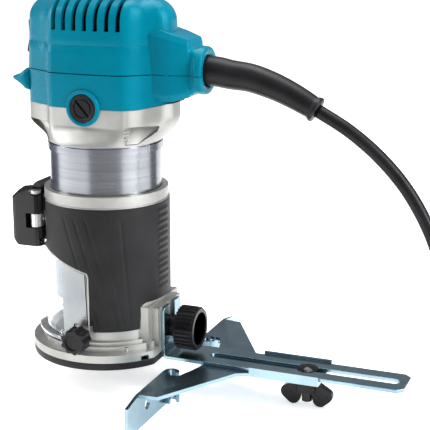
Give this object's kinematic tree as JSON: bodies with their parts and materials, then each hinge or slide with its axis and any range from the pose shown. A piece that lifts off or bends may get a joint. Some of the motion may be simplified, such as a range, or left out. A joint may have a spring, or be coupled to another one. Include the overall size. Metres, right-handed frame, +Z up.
{
  "type": "trim router",
  "caption": "Handheld trim router: sliding motor unit in a clamped round base with clear chip guard, side lever clamp, straight fence on a slotted arm and mains lead.",
  "frame": {"origin": "spindle axis at the underside of the base plate, the plane that rests on the work", "axes": "+Z up along the spindle, +X towards the mains lead and the guide arm, -Y towards the side with the fence's near wing"},
  "size_m": [0.4313, 0.2015, 0.2307],
  "materials": {
    "teal_plastic": "fine satin moulded nylon, teal",
    "cast_aluminium": "cast and lightly blasted, machined barrel",
    "black_plastic": "moulded nylon, semi-gloss",
    "grip_rubber": "soft moulded elastomer",
    "black_rubber": "smooth cable rubber",
    "clear_plastic": "clear polycarbonate",
    "sole_plastic": "black sole plate",
    "zinc_steel": "bright zinc plated sheet steel",
    "steel": "plain machined steel",
    "brass": "plain brass",
    "copper": "enamelled copper wire and segments",
    "carbon": "sintered carbon",
    "laminated_steel": "stacked electrical steel",
    "board": "printed circuit board and parts"
  },
  "bodies": {
    "base": {"tool_base": "cast_aluminium", "grip_cover": "grip_rubber", "chip_deflector": "clear_plastic", "base_plate": "sole_plastic", "plate_screws": "steel", "clamp_bolt": "steel", "clamp_nut": "steel", "cam_plate": "zinc_steel", "slit_cap": "black_plastic", "lever_pin": "steel"},
    "motor": {"motor_housing": "cast_aluminium", "lower_cover": "teal_plastic", "top_cover": "teal_plastic", "housing_screws": "steel", "brush_caps": "black_plastic", "brush_holders": "brass", "brushes": "carbon", "brush_springs": "steel", "field_core": "laminated_steel", "field_coils": "copper", "air_baffle": "black_plastic", "upper_bearing": "steel", "lower_bearing": "steel", "depth_rack": "steel", "switch_body": "black_plastic", "speed_board": "board", "cord_clamp": "black_plastic", "clamp_screws": "steel", "cord_guard": "black_rubber", "cord": "black_rubber", "cord_coil": "black_rubber", "cord_tail": "black_rubber", "plug": "black_rubber", "lock_spring": "steel"},
    "rotor": {"spindle": "steel", "armature_core": "laminated_steel", "commutator": "copper", "fan": "black_plastic", "collet_cone": "steel"},
    "nut": {"collet_nut": "steel"},
    "rocker": {"switch_rocker": "black_plastic"},
    "dial": {"speed_dial": "black_plastic"},
    "lock": {"lock_button": "black_plastic"},
    "lever": {"locking_lever": "black_plastic"},
    "depth_drive": {"depth_screw": "black_plastic"},
    "guard_screw": {"deflector_screw": "black_plastic"},
    "clamp_knob": {"guide_clamp_screw": "black_plastic"},
    "guide_arm": {"guide_holder": "zinc_steel"},
    "fence": {"straight_guide": "zinc_steel", "guide_bolt": "black_plastic", "guide_washer": "zinc_steel"},
    "thumb_nut": {"wing_nut": "black_plastic"}
  },
  "joints": [
    {"name": "motor_depth", "type": "slide", "parent": "base", "child": "motor", "axis": [0, 0, 1], "range_m": [-0.0225, 0.0175]},
    {"name": "spindle_spin", "type": "hinge", "parent": "motor", "child": "rotor", "pos_m": [0, 0, 0.1225], "axis": [0, 0, 1], "continuous": true},
    {"name": "collet_nut_turn", "type": "hinge", "parent": "rotor", "child": "nut", "pos_m": [0, 0, 0.0215], "axis": [0, 0, 1], "range_deg": [0, 360]},
    {"name": "switch_rock", "type": "hinge", "parent": "motor", "child": "rocker", "pos_m": [-0.0375, 0, 0.18525], "axis": [0, 1, 0], "range_deg": [-14, 0]},
    {"name": "speed_dial_turn", "type": "hinge", "parent": "motor", "child": "dial", "pos_m": [0.022, 0, 0.2011], "axis": [0, 1, 0], "range_deg": [0, 270]},
    {"name": "shaft_lock_press", "type": "slide", "parent": "motor", "child": "lock", "axis": [0, -1, 0], "range_m": [0, 0.003], "stiffness_N_per_m": 500, "springref_m": -0.004},
    {"name": "lever_swing", "type": "hinge", "parent": "base", "child": "lever", "pos_m": [-0.0397, -0.0143, 0.0775], "axis": [0, 0, 1], "range_deg": [0, 100]},
    {"name": "depth_screw_turn", "type": "hinge", "parent": "base", "child": "depth_drive", "pos_m": [0, 0.03592, 0.064], "axis": [1, 0, 0], "range_deg": [-252, 323]},
    {"name": "guard_screw_turn", "type": "hinge", "parent": "base", "child": "guard_screw", "pos_m": [0.0014, -0.03998, 0.018], "axis": [0.0349, -0.9994, 0], "range_deg": [0, 360]},
    {"name": "clamp_knob_turn", "type": "hinge", "parent": "base", "child": "clamp_knob", "pos_m": [0.05, 0, 0.017], "axis": [1, 0, 0], "range_deg": [0, 360]},
    {"name": "guide_drop", "type": "slide", "parent": "base", "child": "guide_arm", "axis": [0, 0, 1], "range_m": [-0.012, 0]},
    {"name": "fence_slide", "type": "slide", "parent": "guide_arm", "child": "fence", "axis": [1, 0, 0], "range_m": [-0.048, 0.048]},
    {"name": "thumb_nut_turn", "type": "hinge", "parent": "fence", "child": "thumb_nut", "pos_m": [0.1255, 0, -0.008], "axis": [0, 0, 1], "range_deg": [0, 360]}
  ],
  "couplings": [
    {"joint": "depth_screw_turn", "follows": "motor_depth", "rad_per_m": -250}
  ]
}
